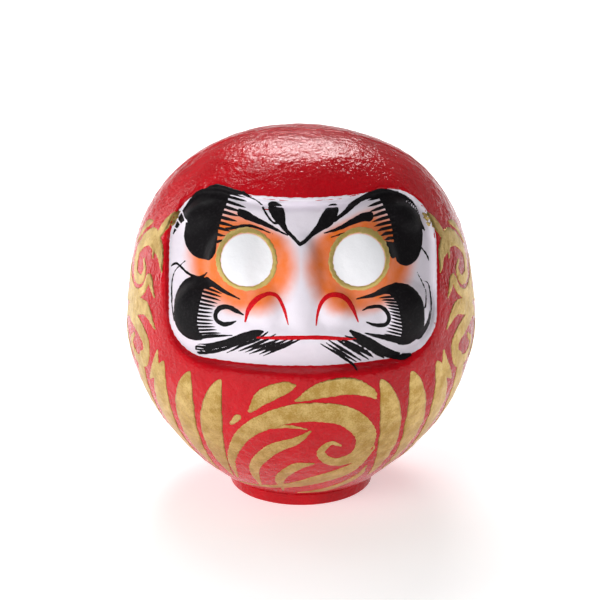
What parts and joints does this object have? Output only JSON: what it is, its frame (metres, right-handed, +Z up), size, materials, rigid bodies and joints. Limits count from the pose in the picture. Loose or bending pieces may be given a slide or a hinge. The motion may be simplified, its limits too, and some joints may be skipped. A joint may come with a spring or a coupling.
{
  "type": "daruma doll",
  "caption": "Round hollow papier-mache wishing doll with a sunk painted face, blank eyes, gilded folds and a clay-weighted foot.",
  "frame": {"origin": "centre of the foot's resting face, on the floor", "axes": "+Z up, the face looks along -Y, the doll's own left is +X"},
  "size_m": [0.2426, 0.242, 0.2543],
  "materials": {
    "lacquered_paper": "gloss red lacquer over moulded paper",
    "pasted_paper": "gloss red lacquer over a pasted strip",
    "lacquered_clay": "gloss red lacquer over dried clay",
    "plain_paper": "plain unbleached paper",
    "white_ground": "satin white shell-lime ground with orange airbrush round the eyes",
    "black_ink": "semi-gloss black brush paint",
    "gold_leaf": "burnished gold leaf and gold paint",
    "red_paint": "satin red brush paint"
  },
  "bodies": {
    "root": {"front_shell": "lacquered_paper", "back_shell": "lacquered_paper", "seam_paper": "pasted_paper", "base_weight": "lacquered_clay", "base_paper": "plain_paper", "face_coat": "white_ground", "brow_left": "black_ink", "brow_right": "black_ink", "beard_left": "black_ink", "beard_right": "black_ink", "eye_rim_left": "gold_leaf", "eye_rim_right": "gold_leaf", "mouth_line": "red_paint", "nostril_line_left": "red_paint", "nostril_line_right": "red_paint", "robe_folds_left": "gold_leaf", "robe_folds_right": "gold_leaf", "side_clouds_left": "gold_leaf", "side_clouds_right": "gold_leaf", "belly_wave": "gold_leaf"}
  },
  "joints": []
}
